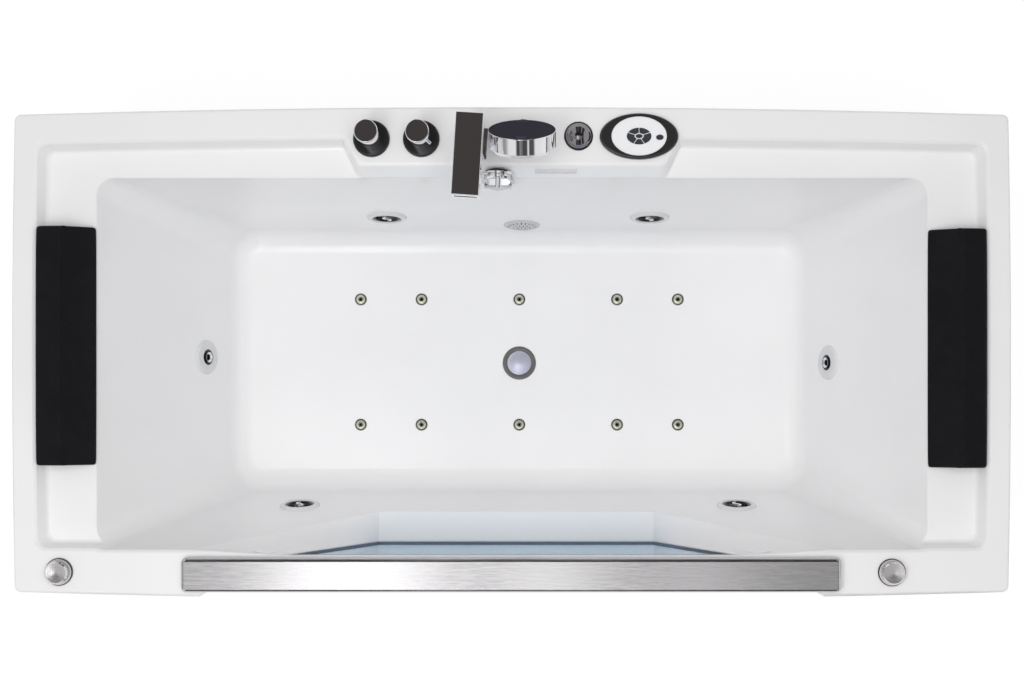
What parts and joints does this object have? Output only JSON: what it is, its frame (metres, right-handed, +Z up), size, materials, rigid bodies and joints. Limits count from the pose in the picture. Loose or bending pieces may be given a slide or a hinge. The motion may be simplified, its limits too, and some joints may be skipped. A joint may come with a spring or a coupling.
{
  "type": "jetted bathtub",
  "caption": "White freestanding jetted bathtub with a front viewing window, steel handrail, pillows, deck taps, hand shower, control panel, pump and blower on a steel frame.",
  "frame": {"origin": "on the floor, under the centre of the whole object's bounding box", "axes": "+Z up, +Y to the wall behind the tub (the tap side), +X to the bather's right when facing the taps"},
  "size_m": [1.8056, 0.8848, 0.7769],
  "materials": {
    "white_acrylic": "polished",
    "white_panel": "gloss",
    "coated_board": "matt",
    "frame_paint": "satin",
    "screw_steel": "satin",
    "rail_steel": "brushed",
    "clear_glass": "clear, pale blue",
    "seal_rubber": "matt",
    "fitting_chrome": "mirror",
    "plug_metal": "satin",
    "probe_white": "satin",
    "panel_black": "gloss",
    "key_grey": "matt",
    "pillow_black": "matt",
    "pipe_grey": "satin",
    "machine_black": "satin",
    "motor_alloy": "cast",
    "rotor_brass": "turned",
    "box_grey": "satin"
  },
  "bodies": {
    "tub": {"tub_shell": "white_acrylic", "floor_board": "coated_board", "base_frame": "frame_paint", "levelling_feet": "frame_paint", "front_apron": "white_panel", "left_apron": "white_panel", "right_apron": "white_panel", "apron_screws": "screw_steel", "window_seal": "seal_rubber", "window_glass": "clear_glass", "handrail": "rail_steel", "tap_valves": "fitting_chrome", "spout": "fitting_chrome", "shower_socket": "fitting_chrome", "dome_bezel": "fitting_chrome", "panel_bezel": "panel_black", "panel_face": "white_acrylic", "air_knob_bases": "fitting_chrome", "jet_flanges": "white_acrylic", "jet_housings": "pipe_grey", "bubble_jets": "fitting_chrome", "air_manifold": "pipe_grey", "drain_flange": "fitting_chrome", "waste_trap": "pipe_grey", "suction_cover": "fitting_chrome", "overflow_cover": "fitting_chrome", "overflow_pipe": "pipe_grey", "probe_bar": "probe_white", "pump_casing": "machine_black", "pump_motor": "motor_alloy", "pressure_pipe": "pipe_grey", "suction_pipe": "pipe_grey", "air_control_pipes": "pipe_grey", "blower_housing": "machine_black", "control_box": "box_grey"},
    "tap_handle_left_body": {"tap_handle_left": "fitting_chrome"},
    "tap_handle_right_body": {"tap_handle_right": "fitting_chrome"},
    "handset_body": {"handset": "fitting_chrome"},
    "dome_button_body": {"dome_button": "fitting_chrome"},
    "ring_key_1_body": {"ring_key_1": "key_grey"},
    "ring_key_2_body": {"ring_key_2": "key_grey"},
    "ring_key_3_body": {"ring_key_3": "key_grey"},
    "ring_key_4_body": {"ring_key_4": "key_grey"},
    "ring_key_5_body": {"ring_key_5": "key_grey"},
    "centre_key_body": {"centre_key": "key_grey"},
    "round_key_body": {"round_key": "key_grey"},
    "air_knob_left_body": {"air_knob_left": "fitting_chrome"},
    "air_knob_right_body": {"air_knob_right": "fitting_chrome"},
    "swirl_eye_back_left_body": {"swirl_eye_back_left": "fitting_chrome"},
    "swirl_eye_back_right_body": {"swirl_eye_back_right": "fitting_chrome"},
    "swirl_eye_front_left_body": {"swirl_eye_front_left": "fitting_chrome"},
    "swirl_eye_front_right_body": {"swirl_eye_front_right": "fitting_chrome"},
    "aiming_nozzle_left_body": {"aiming_nozzle_left": "fitting_chrome"},
    "aiming_nozzle_right_body": {"aiming_nozzle_right": "fitting_chrome"},
    "overflow_knob_body": {"overflow_knob": "fitting_chrome"},
    "drain_plug_body": {"drain_plug": "plug_metal"},
    "pillow_left_body": {"pillow_left": "pillow_black"},
    "pillow_right_body": {"pillow_right": "pillow_black"},
    "pump_rotor_body": {"pump_rotor": "rotor_brass"},
    "blower_fan_body": {"blower_fan": "machine_black"}
  },
  "joints": [
    {"name": "tap_left_turn", "type": "hinge", "parent": "tub", "child": "tap_handle_left_body", "pos_m": [-0.2525, 0.384, 0.66], "axis": [0, 0, 1], "range_deg": [0, 90]},
    {"name": "tap_right_turn", "type": "hinge", "parent": "tub", "child": "tap_handle_right_body", "pos_m": [-0.1626, 0.384, 0.66], "axis": [0, 0, 1], "range_deg": [0, 90]},
    {"name": "handset_lift", "type": "slide", "parent": "tub", "child": "handset_body", "axis": [0, 0, 1], "range_m": [0, 0.06]},
    {"name": "dome_button_press", "type": "slide", "parent": "tub", "child": "dome_button_body", "axis": [0, 0, -1], "range_m": [0, 0.003], "stiffness_N_per_m": 500, "springref_m": -0.002},
    {"name": "ring_key_1_press", "type": "slide", "parent": "tub", "child": "ring_key_1_body", "axis": [0, 0, -1], "range_m": [0, 0.001], "stiffness_N_per_m": 300, "springref_m": -0.001},
    {"name": "ring_key_2_press", "type": "slide", "parent": "tub", "child": "ring_key_2_body", "axis": [0, 0, -1], "range_m": [0, 0.001], "stiffness_N_per_m": 300, "springref_m": -0.001},
    {"name": "ring_key_3_press", "type": "slide", "parent": "tub", "child": "ring_key_3_body", "axis": [0, 0, -1], "range_m": [0, 0.001], "stiffness_N_per_m": 300, "springref_m": -0.001},
    {"name": "ring_key_4_press", "type": "slide", "parent": "tub", "child": "ring_key_4_body", "axis": [0, 0, -1], "range_m": [0, 0.001], "stiffness_N_per_m": 300, "springref_m": -0.001},
    {"name": "ring_key_5_press", "type": "slide", "parent": "tub", "child": "ring_key_5_body", "axis": [0, 0, -1], "range_m": [0, 0.001], "stiffness_N_per_m": 300, "springref_m": -0.001},
    {"name": "centre_key_press", "type": "slide", "parent": "tub", "child": "centre_key_body", "axis": [0, 0, -1], "range_m": [0, 0.001], "stiffness_N_per_m": 300, "springref_m": -0.001},
    {"name": "round_key_press", "type": "slide", "parent": "tub", "child": "round_key_body", "axis": [0, 0, -1], "range_m": [0, 0.001], "stiffness_N_per_m": 300, "springref_m": -0.001},
    {"name": "air_knob_left_turn", "type": "hinge", "parent": "tub", "child": "air_knob_left_body", "pos_m": [-0.816, -0.397, 0.632], "axis": [0, 0, 1], "range_deg": [0, 180]},
    {"name": "air_knob_right_turn", "type": "hinge", "parent": "tub", "child": "air_knob_right_body", "pos_m": [0.686, -0.398, 0.632], "axis": [0, 0, 1], "range_deg": [0, 180]},
    {"name": "swirl_eye_back_left_spin", "type": "hinge", "parent": "tub", "child": "swirl_eye_back_left_body", "pos_m": [-0.262, 0.28133, 0.31], "axis": [0, -0.9915, 0.1298], "continuous": true},
    {"name": "swirl_eye_back_right_spin", "type": "hinge", "parent": "tub", "child": "swirl_eye_back_right_body", "pos_m": [0.267, 0.28133, 0.31], "axis": [0, -0.9915, 0.1298], "continuous": true},
    {"name": "swirl_eye_front_left_spin", "type": "hinge", "parent": "tub", "child": "swirl_eye_front_left_body", "pos_m": [-0.436, -0.29933, 0.32], "axis": [0, 0.9814, 0.1919], "continuous": true},
    {"name": "swirl_eye_front_right_spin", "type": "hinge", "parent": "tub", "child": "swirl_eye_front_right_body", "pos_m": [0.441, -0.29933, 0.32], "axis": [0, 0.9814, 0.1919], "continuous": true},
    {"name": "aiming_nozzle_left_tilt", "type": "hinge", "parent": "tub", "child": "aiming_nozzle_left_body", "pos_m": [-0.63883, 0, 0.27776], "axis": [0, 1, 0], "range_deg": [-12, 12]},
    {"name": "aiming_nozzle_right_tilt", "type": "hinge", "parent": "tub", "child": "aiming_nozzle_right_body", "pos_m": [0.63802, -0.011, 0.27576], "axis": [0, 1, 0], "range_deg": [-12, 12]},
    {"name": "overflow_knob_turn", "type": "hinge", "parent": "tub", "child": "overflow_knob_body", "pos_m": [-0.025, 0.314, 0.595], "axis": [0, -0.9063, 0.4226], "range_deg": [0, 90]},
    {"name": "drain_plug_lift", "type": "slide", "parent": "tub", "child": "drain_plug_body", "axis": [0, 0, 1], "range_m": [0, 0.01]},
    {"name": "pillow_left_lift", "type": "slide", "parent": "tub", "child": "pillow_left_body", "axis": [0, 0, 1], "range_m": [0, 0.06]},
    {"name": "pillow_right_lift", "type": "slide", "parent": "tub", "child": "pillow_right_body", "axis": [0, 0, 1], "range_m": [0, 0.06]},
    {"name": "pump_rotor_spin", "type": "hinge", "parent": "tub", "child": "pump_rotor_body", "pos_m": [0.79, 0.05, 0.205], "axis": [0, 1, 0], "continuous": true},
    {"name": "blower_fan_spin", "type": "hinge", "parent": "tub", "child": "blower_fan_body", "pos_m": [-0.748, -0.095, 0.18], "axis": [0, 0, 1], "continuous": true}
  ],
  "couplings": [
    {"joint": "drain_plug_lift", "follows": "overflow_knob_turn", "m_per_rad": 0.00636}
  ]
}
